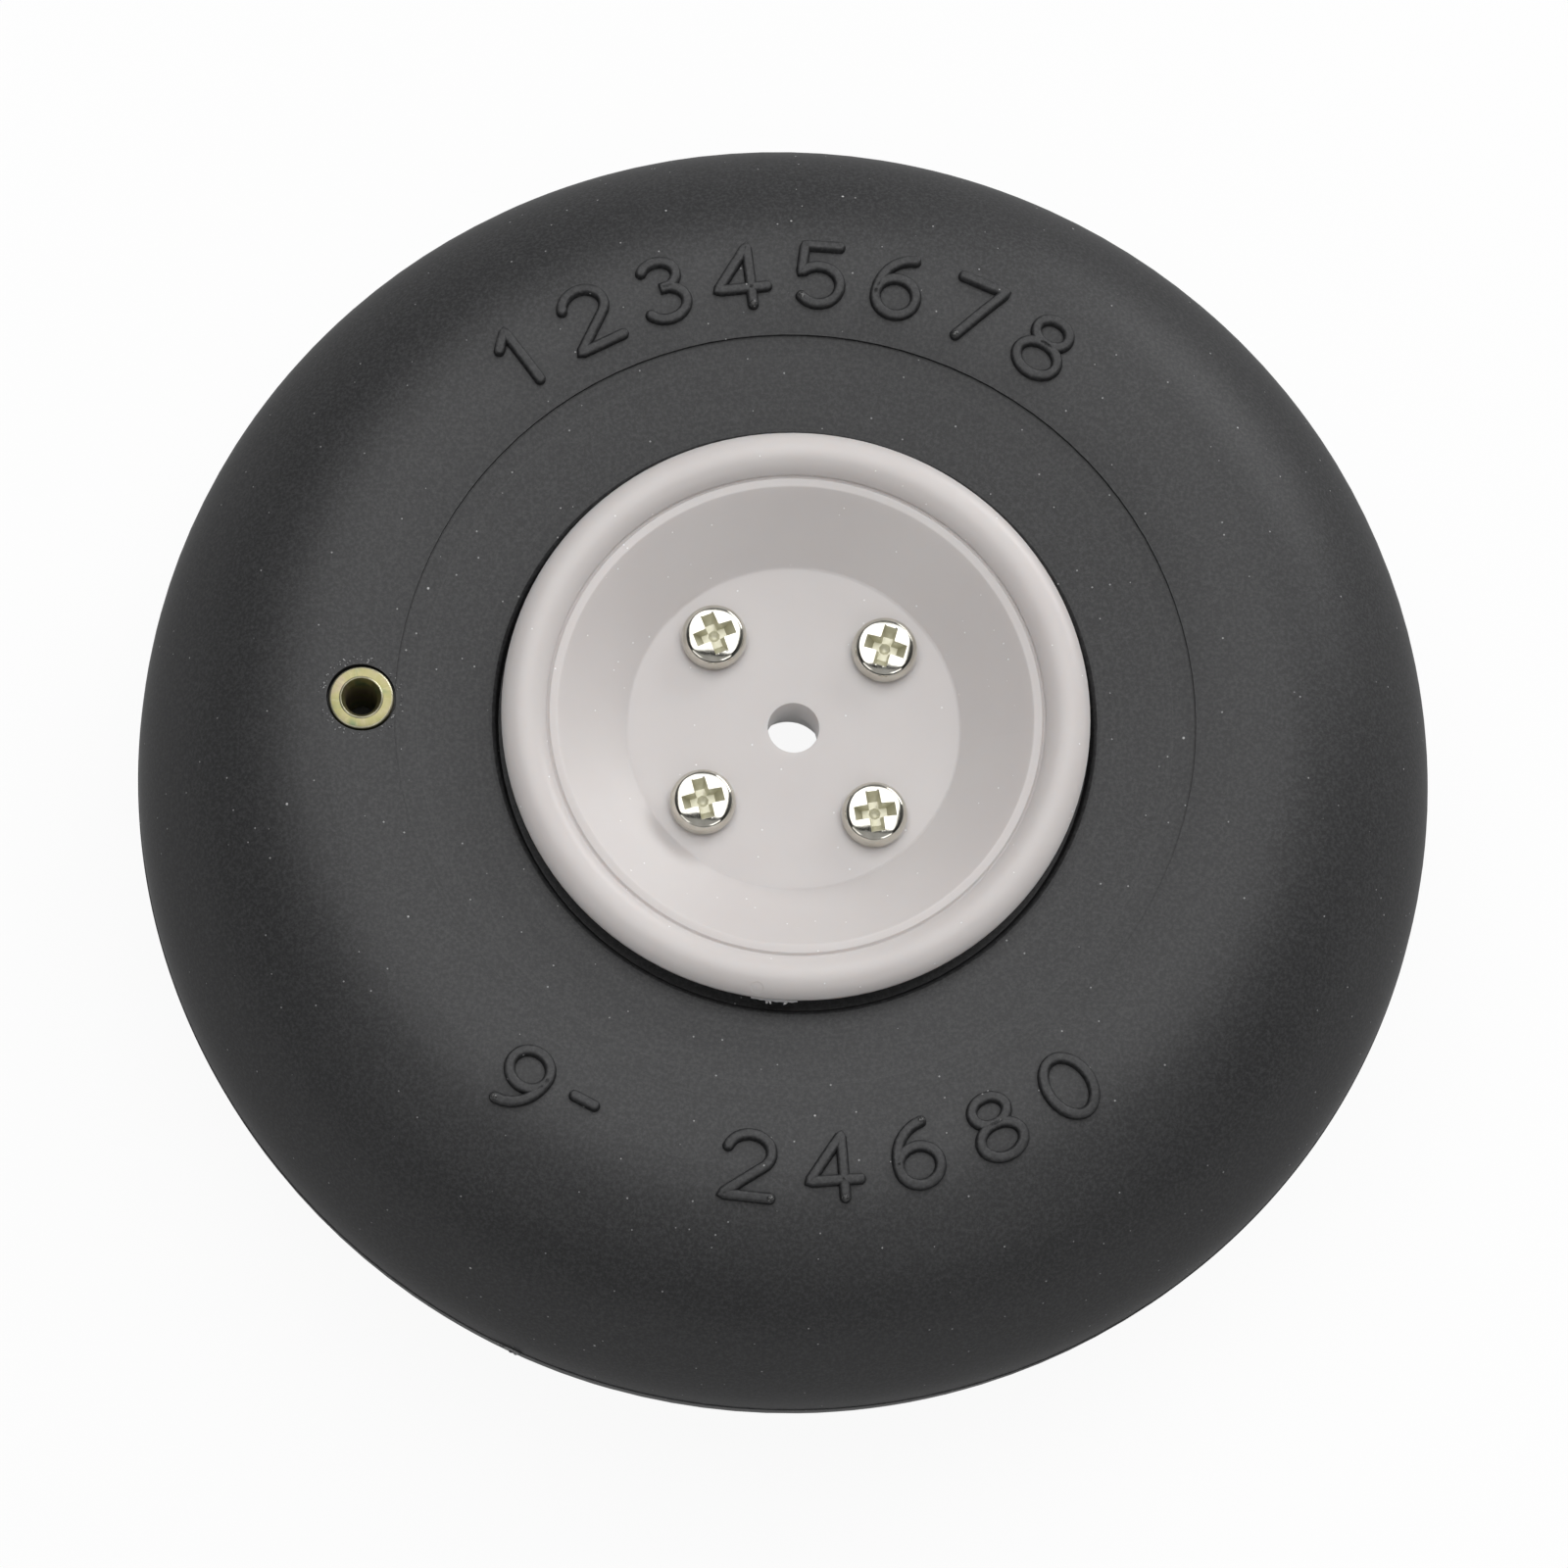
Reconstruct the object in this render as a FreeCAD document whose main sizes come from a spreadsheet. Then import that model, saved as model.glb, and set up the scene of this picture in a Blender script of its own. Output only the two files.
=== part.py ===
"""Inflatable wheel of a model aircraft: hollow tyre, two-piece bolted hub and needle valve.

Millimetres. The origin is the wheel's centre, on the tyre's mid-plane, and +Z is the wheel's axis
towards the dished front. The rear half of the hub sleeves into the skirt of the front half, and four
screws through both webs clamp the tyre's beads between the two rims.
"""
import FreeCAD, Part
import math
import os

import Sketcher
from FreeCAD import Placement, Rotation, Vector

START, END, CENTRE = 1, 2, 3       # which point of a sketch edge a constraint holds
TOUCH = 1e-4
RECESS_TAPER = -8.0                # degrees; the cross recess narrows downwards

SIZES = {
    # tyre; heights count from the mid-plane
    "tyre_radius": 51.0,
    "tyre_half_width": 17.2,
    "crest_radius": 36.0,          # where the section is widest
    "tyre_wall": 3.0,
    "tyre_base_wall": 3.5,
    "step_radius": 30.8,           # edge between the sidewall and the plain bead face
    "step_fall": 0.5,
    "step_drop": 0.3,
    "bead_radius": 23.1,           # mouth of the seat that the rim sits in
    "bead_height": 15.2,
    "bead_round": 0.35,
    "seat_draft": 0.3,
    "rubber_gap": 0.1,
    "rubber_seat_gap": 0.05,
    # rims, alike on both halves
    "barrel_radius": 18.9,
    "barrel_draft": 0.15,
    "flange_height": 14.3,
    "flange_radius": 21.4,
    "lip_radius": 22.6,
    "lip_height": 16.8,
    "lip_edge": 0.25,
    "lip_dome": 1.95,
    "lip_foot_radius": 19.2,
    "foot_groove": 0.15,
    "ledge_radius": 18.3,
    "ledge_height": 16.95,
    "ledge_round": 0.25,
    "hub_wall": 2.2,
    "skirt_gap": 0.05,
    "corner_round": 0.4,
    # webs
    "floor_radius": 12.9,
    "floor_height": 12.9,
    "web_thickness": 2.4,
    "joint_height": 8.9,           # where the bosses of the two halves meet
    "rear_boss_height": 4.45,
    "axle_boss_radius": 5.2,
    "axle_bore_radius": 2.0,
    "rear_bore_radius": 2.875,
    "cup_chamfer": 0.5,
    "rib_count": 8,
    "rib_width": 1.6,
    "rib_foot": 1.0,
    "rib_gap": 0.1,
    "rib_overlap": 0.4,
    # screws and nuts
    "screw_count": 4,
    "screw_azimuth": 45.0,
    "screw_circle": 9.37,
    "screw_radius": 1.25,
    "screw_gap": 0.15,
    "screw_length": 10.0,
    "screw_boss_wall": 1.6,
    "head_radius": 2.45,
    "head_height": 1.9,
    "head_round": 1.2,
    "recess_span": 2.7,
    "recess_width": 0.75,
    "recess_depth": 1.2,
    "nut_width": 5.0,
    "nut_height": 2.0,
    "nut_gap": 0.1,
    "nut_wall": 1.0,
    "thread_gap": 0.02,
    # valve
    "valve_circle": 33.3,
    "valve_azimuth": 182.3,
    "valve_height": 17.05,
    "valve_flange_radius": 2.5,
    "valve_flange_height": 0.9,
    "valve_tube_radius": 1.9,
    "valve_tube_length": 6.0,
    "valve_mouth_radius": 1.6,
    "valve_mouth_depth": 0.4,
    "valve_bore_radius": 1.22,
    "valve_seat_gap": 0.15,
    "valve_gap": 0.03,
    "valve_boss_wall": 1.5,
    "barb_count": 3,
    "barb_depth": 0.2,
    "barb_pitch": 1.2,
    "plug_radius": 2.4,
    "plug_height": 2.5,
}


class Size:
    """A value together with the sheet expression that it comes from."""

    def __init__(self, value, text):
        self.value = value
        self.text = text

    @staticmethod
    def of(other):
        return other if isinstance(other, Size) else Size(other, repr(float(other)))

    def __add__(self, other):
        other = Size.of(other)
        return Size(self.value + other.value, f"({self.text} + {other.text})")

    def __sub__(self, other):
        other = Size.of(other)
        return Size(self.value - other.value, f"({self.text} - {other.text})")

    def __mul__(self, other):
        other = Size.of(other)
        return Size(self.value * other.value, f"({self.text} * {other.text})")

    def __truediv__(self, other):
        other = Size.of(other)
        return Size(self.value / other.value, f"({self.text} / {other.text})")

    def __neg__(self):
        return Size(-self.value, f"(-{self.text})")

    def root(self):
        return Size(self.value ** 0.5, f"sqrt({self.text})")


class Sheet:
    """The driving dimensions, read as attributes: sheet.tyre_radius is a Size."""

    def __init__(self, doc):
        cells = doc.addObject("Spreadsheet::Sheet", "Dimensions")
        for row, (name, value) in enumerate(SIZES.items(), start=1):
            cells.set(f"A{row}", name)
            cells.set(f"B{row}", str(value))
            cells.setAlias(f"B{row}", name)
        doc.recompute()

    def __getattr__(self, name):
        return Size(SIZES[name], f"Dimensions.{name}")


class Arc:
    """Bends the edge that leaves a corner into a circle's arc of this radius, turning left."""

    def __init__(self, radius):
        self.radius = Size.of(radius)

    def geometry(self, start, end):
        chord = end - start
        height = (self.radius.value ** 2 - (chord.Length / 2) ** 2) ** 0.5
        centre = start + chord / 2 + Vector(-chord.y, chord.x, 0) / chord.Length * height
        angles = [math.atan2(point.y - centre.y, point.x - centre.x) for point in (start, end)]
        return Part.ArcOfCircle(Part.Circle(centre, Vector(0, 0, 1), self.radius.value), *angles)

    def constrain(self, sketch, edge):
        dimension(sketch, "Radius", edge, size=self.radius)


class Quarter:
    """Bends the edge that leaves a corner into a quarter of an ellipse about this centre, turning left."""

    def __init__(self, x, y):
        self.x = Size.of(x)
        self.y = Size.of(y)
        self.upright = False

    def geometry(self, start, end):
        centre = Vector(self.x.value, self.y.value, 0)
        first = start - centre
        last = end - centre
        ends_long = last.Length > first.Length
        major, minor = (last, -first) if ends_long else (first, last)
        self.upright = abs(major.y) > abs(major.x)
        ellipse = Part.Ellipse(centre + major, centre + minor, centre)
        low = -math.pi / 2 if ends_long else 0.0
        return Part.ArcOfEllipse(ellipse, low, low + math.pi / 2)

    def constrain(self, sketch, edge):
        place_point(sketch, edge, CENTRE, self.x, self.y)
        major_axis = sketch.GeometryCount
        sketch.exposeInternalGeometry(edge)
        sketch.addConstraint(Sketcher.Constraint("Vertical" if self.upright else "Horizontal", major_axis))


def bind(feature, **sizes):
    """Tie properties of a feature to the sheet."""
    for name, size in sizes.items():
        feature.setExpression(name, Size.of(size).text)


def origin_part(body, role):
    return next(item for item in body.Origin.OriginFeatures if item.Role == role)


def new_body(doc, label):
    body = doc.addObject("PartDesign::Body", label)
    body.Label = label
    return body


def new_sketch(body, name, role, height=None, turn=None):
    """A sketch on one of the body's origin planes, lifted and turned about the plane's normal."""
    sketch = body.newObject("Sketcher::SketchObject", name)
    sketch.AttachmentSupport = [(origin_part(body, role), "")]
    sketch.MapMode = "FlatFace"
    if height is not None:
        sketch.setExpression("AttachmentOffset.Base.z", Size.of(height).text)
    if turn is not None:
        sketch.AttachmentOffset = Placement(Vector(), Rotation(Vector(0, 0, 1), Size.of(turn).value))
        sketch.setExpression("AttachmentOffset.Rotation.Angle", Size.of(turn).text)
    return sketch


def dimension(sketch, kind, *where, size):
    """Add one driving dimension and tie it to the sheet."""
    size = Size.of(size)
    index = sketch.addConstraint(Sketcher.Constraint(kind, *where, size.value))
    sketch.setExpression(f"Constraints[{index}]", size.text)


def place_point(sketch, geometry, end, x, y):
    dimension(sketch, "DistanceX", geometry, end, size=x)
    dimension(sketch, "DistanceY", geometry, end, size=y)


def draw_outline(sketch, corners):
    """A closed outline, drawn anticlockwise. A corner is (x, y), or (x, y, bend) where the edge that
    leaves it is an Arc or a Quarter."""
    points = [Vector(Size.of(corner[0]).value, Size.of(corner[1]).value, 0) for corner in corners]
    edges = []
    for index, corner in enumerate(corners):
        start = points[index]
        end = points[(index + 1) % len(points)]
        shape = corner[2].geometry(start, end) if len(corner) > 2 else Part.LineSegment(start, end)
        edges.append(sketch.addGeometry(shape, False))
    for index, corner in enumerate(corners):
        after = edges[(index + 1) % len(edges)]
        sketch.addConstraint(Sketcher.Constraint("Coincident", edges[index], END, after, START))
        place_point(sketch, edges[index], START, corner[0], corner[1])
    for edge, corner in zip(edges, corners):
        if len(corner) > 2:
            corner[2].constrain(sketch, edge)


def draw_circle(sketch, x, y, radius):
    centre = Vector(Size.of(x).value, Size.of(y).value, 0)
    circle = sketch.addGeometry(Part.Circle(centre, Vector(0, 0, 1), Size.of(radius).value), False)
    place_point(sketch, circle, CENTRE, x, y)
    dimension(sketch, "Radius", circle, size=radius)


def draw_axis(sketch, x):
    """A construction line along the sketch's vertical, at this x: the axis of a turned feature."""
    place = Size.of(x)
    line = Part.LineSegment(Vector(place.value, 0, 0), Vector(place.value, 1, 0))
    axis = sketch.addGeometry(line, True)
    place_point(sketch, axis, START, place, 0)
    place_point(sketch, axis, END, place, 1)


def hexagon(x, half_width):
    """Corners of a hexagon centred at (x, 0), with two flats square to the sketch's vertical."""
    corner = half_width * 2 / Size.of(3).root()
    half = corner / 2
    return [
        (x + corner, 0), (x + half, half_width), (x - half, half_width),
        (x - corner, 0), (x - half, -half_width), (x + half, -half_width),
    ]


def revolve(body, name, sketch, kind="Revolution", axis="V_Axis"):
    turned = body.newObject("PartDesign::" + kind, name)
    turned.Profile = sketch
    turned.ReferenceAxis = (sketch, [axis])
    turned.Angle = 360.0
    return turned


def extrude(body, name, sketch, length=None, kind="Pad", backwards=False, midplane=False):
    """A pad or pocket of the given length; with no length it runs through everything."""
    feature = body.newObject("PartDesign::" + kind, name)
    feature.Profile = sketch
    feature.Reversed = backwards
    feature.Midplane = midplane
    if length is None:
        feature.Type = "ThroughAll"
    else:
        feature.setExpression("Length", length.text)
    return feature


def repeat_round(body, features, count):
    """Repeat features evenly about the body's Z axis."""
    pattern = body.newObject("PartDesign::PolarPattern", features[-1].Name + "Round")
    pattern.Originals = features
    pattern.Axis = (origin_part(body, "Z_Axis"), [""])
    pattern.Angle = 360.0
    pattern.setExpression("Occurrences", count.text)
    body.Tip = pattern
    return pattern


def ring_edges(shape, radius, height):
    """Names of the circular edges about Z that have this radius and height."""
    names = []
    for index, edge in enumerate(shape.Edges, start=1):
        curve = edge.Curve
        if not isinstance(curve, Part.Circle):
            continue
        centred = math.hypot(curve.Center.x, curve.Center.y) < TOUCH
        if centred and abs(curve.Radius - radius.value) < TOUCH and abs(curve.Center.z - height.value) < TOUCH:
            names.append(f"Edge{index}")
    return names


def round_rings(body, name, radius, rings):
    """Fillet the circular edges at the given (radius, height) pairs."""
    body.Document.recompute()
    base = body.Tip
    edges = [edge for ring in rings for edge in ring_edges(base.Shape, *ring)]
    if len(edges) < len(rings):
        raise RuntimeError(f"{body.Label}: {name} found {len(edges)} edges for {len(rings)} rings")
    fillet = body.newObject("PartDesign::Fillet", name)
    fillet.Base = (base, edges)
    fillet.setExpression("Radius", radius.text)
    return fillet


def polar(radius, azimuth):
    """Plan position at a radius and an azimuth in degrees, as two sizes."""
    angle = math.radians(azimuth.value)
    turn = f"{azimuth.text} * 1 deg"
    return (
        Size(radius.value * math.cos(angle), f"({radius.text} * cos({turn}))"),
        Size(radius.value * math.sin(angle), f"({radius.text} * sin({turn}))"),
    )


def build_tyre(doc, s):
    """Hollow moulding: an oval section with plain bead faces, a seat for each rim and a valve boss."""
    body = new_body(doc, "tyre")
    base_radius = s.barrel_radius + s.rubber_gap
    seat_height = s.flange_height - s.rubber_seat_gap
    step_top = s.tyre_half_width - s.step_fall
    step_reach = s.crest_radius - s.step_radius
    sidewall_round = (step_reach * step_reach + s.step_fall * s.step_fall) / (s.step_fall * 2)

    section = new_sketch(body, "TyreHalfSection", "XZ_Plane")
    draw_outline(section, [
        (s.tyre_radius, 0, Quarter(s.crest_radius, 0)),
        (s.crest_radius, s.tyre_half_width, Arc(sidewall_round)),
        (s.step_radius, step_top),
        (s.step_radius, step_top - s.step_drop),
        (s.bead_radius, s.bead_height),
        (s.bead_radius - s.seat_draft, seat_height),
        (base_radius, seat_height),
        (base_radius, 0),
    ])
    front_half = revolve(body, "TyreFrontHalf", section)

    chamber_inside = base_radius + s.tyre_base_wall
    chamber_outside = s.tyre_radius - s.tyre_wall
    chamber_middle = (chamber_inside + chamber_outside) / 2
    chamber = new_sketch(body, "ChamberHalfSection", "XZ_Plane")
    draw_outline(chamber, [
        (chamber_inside, 0),
        (chamber_outside, 0, Quarter(chamber_middle, 0)),
        (chamber_middle, s.tyre_half_width - s.tyre_wall, Quarter(chamber_middle, 0)),
    ])
    front_chamber = revolve(body, "FrontChamber", chamber, "Groove")
    mirror = body.newObject("PartDesign::Mirrored", "TyreBothHalves")
    mirror.Originals = [front_half, front_chamber]
    mirror.MirrorPlane = (origin_part(body, "XY_Plane"), [""])
    body.Tip = mirror
    round_rings(body, "BeadRounds", s.bead_round,
                [(s.bead_radius, s.bead_height), (s.bead_radius, -s.bead_height)])

    valve_x, valve_y = polar(s.valve_circle, s.valve_azimuth)
    boss_top = s.tyre_half_width - s.tyre_wall * 0.7
    tube_tip = s.valve_height - s.valve_flange_height - s.valve_tube_length
    boss = new_sketch(body, "ValveBossOutline", "XY_Plane", boss_top)
    draw_circle(boss, valve_x, valve_y, s.plug_radius + s.valve_boss_wall)
    extrude(body, "ValveBoss", boss, boss_top - tube_tip + s.plug_height, backwards=True)

    hole_top = s.tyre_half_width + s.step_drop
    seat = new_sketch(body, "ValveSeatCentre", "XY_Plane", hole_top)
    draw_circle(seat, valve_x, valve_y, s.valve_tube_radius)
    doc.recompute()
    hole = body.newObject("PartDesign::Hole", "ValveHole")
    hole.Profile = seat
    hole.DepthType = "Dimension"
    hole.DrillPoint = "Flat"
    hole.HoleCutType = "Counterbore"
    hole.HoleCutCustomValues = True
    bind(hole,
         Diameter=(s.valve_tube_radius + s.valve_gap) * 2,
         Depth=hole_top - tube_tip,
         HoleCutDiameter=(s.valve_flange_radius + s.valve_seat_gap) * 2,
         HoleCutDepth=hole_top - s.valve_height + s.valve_flange_height + s.valve_gap)

    plug_seat = new_sketch(body, "PlugSeatOutline", "XY_Plane", tube_tip)
    draw_circle(plug_seat, valve_x, valve_y, s.plug_radius + s.valve_gap)
    extrude(body, "PlugSeat", plug_seat, s.plug_height + s.valve_gap, kind="Pocket")
    return body


def rim_edge(s, side):
    """Corners of one rim, from the barrel round the lip to the ledge; side is 1 in front, -1 behind."""
    corners = [
        (s.flange_radius, s.flange_height),
        (s.lip_radius, s.lip_height),
        (s.lip_radius, s.lip_height + s.lip_edge),
        (s.lip_foot_radius, s.ledge_height + s.foot_groove),
        (s.lip_foot_radius, s.ledge_height - s.foot_groove),
        (s.lip_foot_radius - s.foot_groove, s.ledge_height - s.foot_groove),
        (s.lip_foot_radius - s.foot_groove * 2, s.ledge_height),
        (s.ledge_radius, s.ledge_height),
    ]
    dome_start = 2 if side > 0 else 4
    if side < 0:
        corners = [(x, -y) for x, y in reversed(corners)]
    x, y = corners[dome_start]
    corners[dome_start] = (x, y, Arc(s.lip_dome))
    return corners


def add_screw_holes(body, s, height):
    """Clearance holes for the screws, down through everything below this height."""
    sketch = new_sketch(body, body.Label + "_hole", "XY_Plane", height, s.screw_azimuth)
    draw_circle(sketch, s.screw_circle, 0, s.screw_radius + s.screw_gap)
    hole = extrude(body, body.Label + "_screw_hole", sketch, kind="Pocket")
    repeat_round(body, [hole], s.screw_count)


def build_hub_front(doc, s):
    """Front half: domed lip, conical dish, flat web, ribs behind it, and the skirt over the rear half."""
    body = new_body(doc, "hub_front")
    rise = s.ledge_height - s.floor_height
    run = s.ledge_radius - s.floor_radius
    slope = rise / run
    dish_drop = s.hub_wall * (run * run + rise * rise).root() / run
    web_under = s.floor_height - s.web_thickness
    dish_under_radius = s.floor_radius + (dish_drop - s.web_thickness) / slope
    skirt_inside = s.barrel_radius - s.hub_wall
    dish_under_height = s.floor_height + (skirt_inside - s.floor_radius) * slope - dish_drop

    section = new_sketch(body, "FrontSection", "XZ_Plane")
    draw_outline(section, [
        (s.axle_bore_radius, s.joint_height),
        (s.axle_boss_radius, s.joint_height),
        (s.axle_boss_radius, web_under),
        (dish_under_radius, web_under),
        (skirt_inside, dish_under_height),
        (skirt_inside, s.skirt_gap),
        (s.barrel_radius - s.barrel_draft, s.skirt_gap),
        (s.barrel_radius, s.flange_height),
    ] + rim_edge(s, 1) + [
        (s.floor_radius, s.floor_height),
        (s.axle_bore_radius, s.floor_height),
    ])
    revolve(body, "FrontShell", section)
    round_rings(body, "FrontLedgeRound", s.ledge_round, [(s.ledge_radius, s.ledge_height)])
    round_rings(body, "FrontFloorRound", s.corner_round, [(s.floor_radius, s.floor_height)])

    rib_section = new_sketch(body, "FrontRibSection", "XZ_Plane")
    rib_inside = s.axle_boss_radius - s.rib_overlap
    rib_low = s.joint_height + s.rib_gap
    rib_outside = skirt_inside + s.rib_overlap
    draw_outline(rib_section, [
        (rib_inside, rib_low),
        (rib_outside, rib_low),
        (rib_outside, dish_under_height + s.rib_overlap),
        (dish_under_radius, web_under + s.rib_overlap),
        (rib_inside, web_under + s.rib_overlap),
    ])
    rib = extrude(body, "FrontRib", rib_section, s.rib_width, midplane=True)
    repeat_round(body, [rib], s.rib_count)

    boss = new_sketch(body, "FrontBossOutline", "XY_Plane", s.joint_height, s.screw_azimuth)
    draw_circle(boss, s.screw_circle, 0, s.screw_radius + s.screw_gap + s.screw_boss_wall)
    pad = extrude(body, "FrontBoss", boss, web_under + s.rib_overlap - s.joint_height)
    repeat_round(body, [pad], s.screw_count)
    add_screw_holes(body, s, s.floor_height)
    return body


def build_hub_rear(doc, s):
    """Rear half: domed lip, deep dish and a cup that fits inside the front skirt, with nut pockets."""
    body = new_body(doc, "hub_rear")
    web_under = s.joint_height - s.web_thickness
    dish_inside = s.barrel_radius - s.hub_wall
    cup_outside = dish_inside - s.skirt_gap
    cup_inside = cup_outside - s.hub_wall
    mouth_height = s.ledge_height - (s.ledge_radius - dish_inside)

    section = new_sketch(body, "RearSection", "XZ_Plane")
    draw_outline(section, [
        (s.rear_bore_radius, s.joint_height),
        (s.rear_bore_radius, s.rear_boss_height),
        (s.axle_boss_radius, s.rear_boss_height),
        (s.axle_boss_radius, web_under),
        (cup_inside, web_under),
        (cup_inside, -s.hub_wall),
        (dish_inside - s.barrel_draft, -s.hub_wall),
        (dish_inside, -mouth_height),
    ] + rim_edge(s, -1) + [
        (s.barrel_radius, -s.flange_height),
        (s.barrel_radius - s.barrel_draft, -s.skirt_gap),
        (cup_outside, -s.skirt_gap),
        (cup_outside, s.joint_height - s.cup_chamfer),
        (cup_outside - s.cup_chamfer, s.joint_height),
    ])
    revolve(body, "RearShell", section)
    round_rings(body, "RearLedgeRound", s.ledge_round, [(s.ledge_radius, -s.ledge_height)])

    nut_half = s.nut_width / 2 + s.nut_gap
    boss_radius = nut_half * 2 / Size.of(3).root() + s.nut_wall
    rib_section = new_sketch(body, "RearRibSection", "XZ_Plane")
    rib_inside = s.axle_boss_radius - s.rib_overlap
    rib_outside = cup_inside + s.rib_overlap
    draw_outline(rib_section, [
        (rib_inside, s.rear_boss_height),
        (s.screw_circle + boss_radius, s.rear_boss_height),
        (rib_outside, s.rib_foot),
        (rib_outside, web_under + s.rib_overlap),
        (rib_inside, web_under + s.rib_overlap),
    ])
    rib = extrude(body, "RearRib", rib_section, s.rib_width, midplane=True)
    repeat_round(body, [rib], s.rib_count)

    boss = new_sketch(body, "NutBossOutline", "XY_Plane", s.rear_boss_height, s.screw_azimuth)
    draw_circle(boss, s.screw_circle, 0, boss_radius)
    pad = extrude(body, "NutBoss", boss, web_under + s.rib_overlap - s.rear_boss_height)
    repeat_round(body, [pad], s.screw_count)

    pocket_outline = new_sketch(body, "NutPocketOutline", "XY_Plane", s.rear_boss_height, s.screw_azimuth)
    draw_outline(pocket_outline, hexagon(s.screw_circle, nut_half))
    pocket = extrude(body, "NutPocket", pocket_outline, s.nut_height + s.nut_gap * 2,
                     kind="Pocket", backwards=True)
    repeat_round(body, [pocket], s.screw_count)
    add_screw_holes(body, s, s.joint_height)
    return body


def turn_to_screws(body, s):
    """Turn a body whose first fastener lies on its X axis, so that the four fasteners meet the bosses."""
    body.Placement = Placement(Vector(), Rotation(Vector(0, 0, 1), s.screw_azimuth.value))
    body.setExpression("Placement.Rotation.Angle", s.screw_azimuth.text)


def build_screws(doc, s):
    """Pan-head screws with a cross recess; the threads are left plain."""
    body = new_body(doc, "hub_screws")
    turn_to_screws(body, s)
    axis = s.screw_circle
    top = s.floor_height + s.head_height
    tip = s.floor_height - s.screw_length
    section = new_sketch(body, "ScrewSection", "XZ_Plane")
    draw_outline(section, [
        (axis, tip),
        (axis + s.screw_radius, tip),
        (axis + s.screw_radius, s.floor_height),
        (axis + s.head_radius, s.floor_height),
        (axis + s.head_radius, top - s.head_round, Arc(s.head_round)),
        (axis + s.head_radius - s.head_round, top),
        (axis, top),
    ])
    draw_axis(section, axis)
    screw = revolve(body, "Screw", section, axis="Axis0")
    cuts = []
    for name, span_x, span_y in (("RecessAlong", s.recess_span, s.recess_width),
                                 ("RecessAcross", s.recess_width, s.recess_span)):
        slot = new_sketch(body, name + "Outline", "XY_Plane", top)
        draw_outline(slot, [
            (axis - span_x / 2, -span_y / 2),
            (axis + span_x / 2, -span_y / 2),
            (axis + span_x / 2, span_y / 2),
            (axis - span_x / 2, span_y / 2),
        ])
        cut = extrude(body, name, slot, s.recess_depth, kind="Pocket")
        cut.TaperAngle = RECESS_TAPER
        cuts.append(cut)
    repeat_round(body, [screw] + cuts, s.screw_count)
    return body


def build_nuts(doc, s):
    """Hexagon nuts, chamfered on both faces."""
    body = new_body(doc, "hub_nuts")
    turn_to_screws(body, s)
    seat = s.rear_boss_height + s.nut_height + s.nut_gap * 2
    axis = s.screw_circle
    half = s.nut_width / 2
    corner = half * 2 / Size.of(3).root()
    outline = new_sketch(body, "NutOutline", "XY_Plane", seat - s.nut_height)
    draw_outline(outline, hexagon(axis, half))
    draw_circle(outline, axis, 0, s.screw_radius + s.thread_gap)
    nut = extrude(body, "Nut", outline, s.nut_height)

    crown = new_sketch(body, "NutChamferSection", "XZ_Plane")
    clear = corner + s.nut_gap
    fall = (clear - half) / Size.of(3).root()
    low = seat - s.nut_height
    draw_outline(crown, [(axis + half, seat), (axis + clear, seat - fall), (axis + clear, seat)])
    draw_outline(crown, [(axis + half, low), (axis + clear, low), (axis + clear, low + fall)])
    draw_axis(crown, axis)
    chamfer = revolve(body, "NutChamfer", crown, "Groove", axis="Axis0")
    repeat_round(body, [nut, chamfer], s.screw_count)
    return body


def stand_on_valve_axis(body, s):
    """Put a body that is turned about its own Z on the valve's axis, its origin at the flange's face."""
    x, y = polar(s.valve_circle, s.valve_azimuth)
    body.Placement = Placement(Vector(x.value, y.value, s.valve_height.value), Rotation())
    for name, size in (("x", x), ("y", y), ("z", s.valve_height)):
        body.setExpression(f"Placement.Base.{name}", size.text)


def build_valve_insert(doc, s):
    """Flanged metal bush: countersunk mouth, straight bore and barbs that hold it in the rubber."""
    body = new_body(doc, "valve_insert")
    stand_on_valve_axis(body, s)
    under = -s.valve_flange_height
    tip = under - s.valve_tube_length
    section = new_sketch(body, "InsertSection", "XZ_Plane")
    corners = [(s.valve_bore_radius, tip), (s.valve_tube_radius - s.barb_depth, tip)]
    for number in range(SIZES["barb_count"]):
        foot = tip + s.barb_pitch * number
        corners.append((s.valve_tube_radius, foot + s.barb_pitch))
        corners.append((s.valve_tube_radius - s.barb_depth, foot + s.barb_pitch))
    corners += [
        (s.valve_tube_radius - s.barb_depth, under),
        (s.valve_flange_radius, under),
        (s.valve_flange_radius, 0),
        (s.valve_mouth_radius, 0),
        (s.valve_bore_radius, -s.valve_mouth_depth),
    ]
    draw_outline(section, corners)
    revolve(body, "Insert", section)
    return body


def build_valve_plug(doc, s):
    """Rubber self-sealing plug in the boss behind the bush; the inflating needle pierces it."""
    body = new_body(doc, "valve_plug")
    stand_on_valve_axis(body, s)
    face = -s.valve_flange_height - s.valve_tube_length
    outline = new_sketch(body, "PlugOutline", "XY_Plane", face)
    draw_circle(outline, 0, 0, s.plug_radius)
    extrude(body, "Plug", outline, s.plug_height, backwards=True)
    return body


def check(doc, bodies):
    """Stop unless every object is sound and every sub-part is a valid, solid shape."""
    for item in doc.Objects:
        faults = [state for state in item.State if state in ("Invalid", "Error")]
        if faults:
            raise RuntimeError(f"{item.Name}: {faults}")
    for body in bodies:
        if body.Shape.isNull() or not body.Shape.isValid() or not body.Shape.Solids:
            raise RuntimeError(f"{body.Label} is not a valid solid")


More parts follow.
